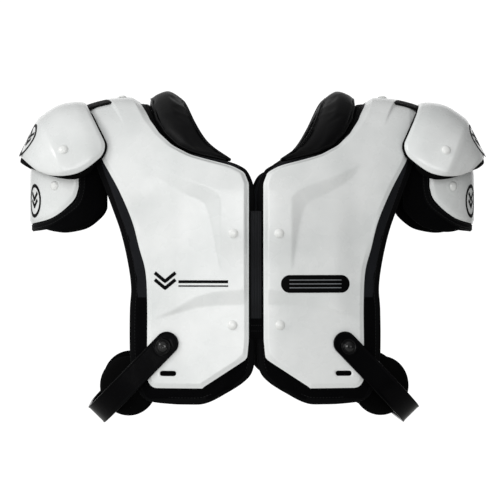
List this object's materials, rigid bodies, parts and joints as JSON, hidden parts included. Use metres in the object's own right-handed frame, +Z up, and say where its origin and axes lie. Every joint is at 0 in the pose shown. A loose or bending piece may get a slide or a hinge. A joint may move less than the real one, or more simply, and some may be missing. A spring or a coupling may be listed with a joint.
{
  "type": "football shoulder pad",
  "caption": "Football shoulder pad: moulded arch plates over black padded liners, with epaulets, shoulder cups, neck collar pads and side straps",
  "frame": {"origin": "On the centre plane under the shoulder arches, where the pad rests on its wearer", "axes": "+Z up, front with the straps' screws towards -Y, the wearer's left side at +X; alike about X = 0"},
  "size_m": [0.5618, 0.2828, 0.3964],
  "materials": {
    "plate": "white moulded polyethylene, satin gloss, raised band and sunken panel",
    "epaulet": "white moulded polyethylene, satin gloss",
    "cup": "white moulded polyethylene, satin gloss",
    "liner": "black woven nylon cover over foam, quilted, bound hem",
    "collar": "black knit cover over foam, slight sheen",
    "epaulet_foam": "matt black foam with fabric face",
    "cup_pad": "matt black fabric over foam, bound edge",
    "rib_pad": "matt black fabric over foam",
    "hinge_web": "black flat-woven webbing",
    "centre_web": "dark grey ribbed elastic",
    "strap": "black stiff strap plastic, satin",
    "washer": "black plastic washer",
    "rivet": "white nylon, glossy dome",
    "screw": "blackened steel, domed head"
  },
  "bodies": {
    "root": {"arch_plate_l": "plate", "body_liner_l": "liner", "neck_collar_l": "collar", "epaulet_l": "epaulet", "epaulet_pad_l": "epaulet_foam", "shoulder_cup_l": "cup", "cup_pad_l": "cup_pad", "hinge_web_l": "hinge_web", "side_strap_l": "strap", "crest_rivet_l": "rivet", "rib_pad_front_l": "rib_pad", "strap_washer_front_l": "washer", "strap_screw_front_l": "screw", "plate_rivet_upper_front_l": "rivet", "plate_rivet_lower_front_l": "rivet", "epaulet_rivet_front_l": "rivet", "cup_rivet_front_l": "rivet", "rib_pad_back_l": "rib_pad", "strap_washer_back_l": "washer", "strap_screw_back_l": "screw", "plate_rivet_upper_back_l": "rivet", "plate_rivet_lower_back_l": "rivet", "epaulet_rivet_back_l": "rivet", "cup_rivet_back_l": "rivet", "arch_plate_r": "plate", "body_liner_r": "liner", "neck_collar_r": "collar", "epaulet_r": "epaulet", "epaulet_pad_r": "epaulet_foam", "shoulder_cup_r": "cup", "cup_pad_r": "cup_pad", "hinge_web_r": "hinge_web", "side_strap_r": "strap", "crest_rivet_r": "rivet", "rib_pad_front_r": "rib_pad", "strap_washer_front_r": "washer", "strap_screw_front_r": "screw", "plate_rivet_upper_front_r": "rivet", "plate_rivet_lower_front_r": "rivet", "epaulet_rivet_front_r": "rivet", "cup_rivet_front_r": "rivet", "rib_pad_back_r": "rib_pad", "strap_washer_back_r": "washer", "strap_screw_back_r": "screw", "plate_rivet_upper_back_r": "rivet", "plate_rivet_lower_back_r": "rivet", "epaulet_rivet_back_r": "rivet", "cup_rivet_back_r": "rivet", "centre_web_front": "centre_web", "centre_web_back": "centre_web"}
  },
  "joints": []
}
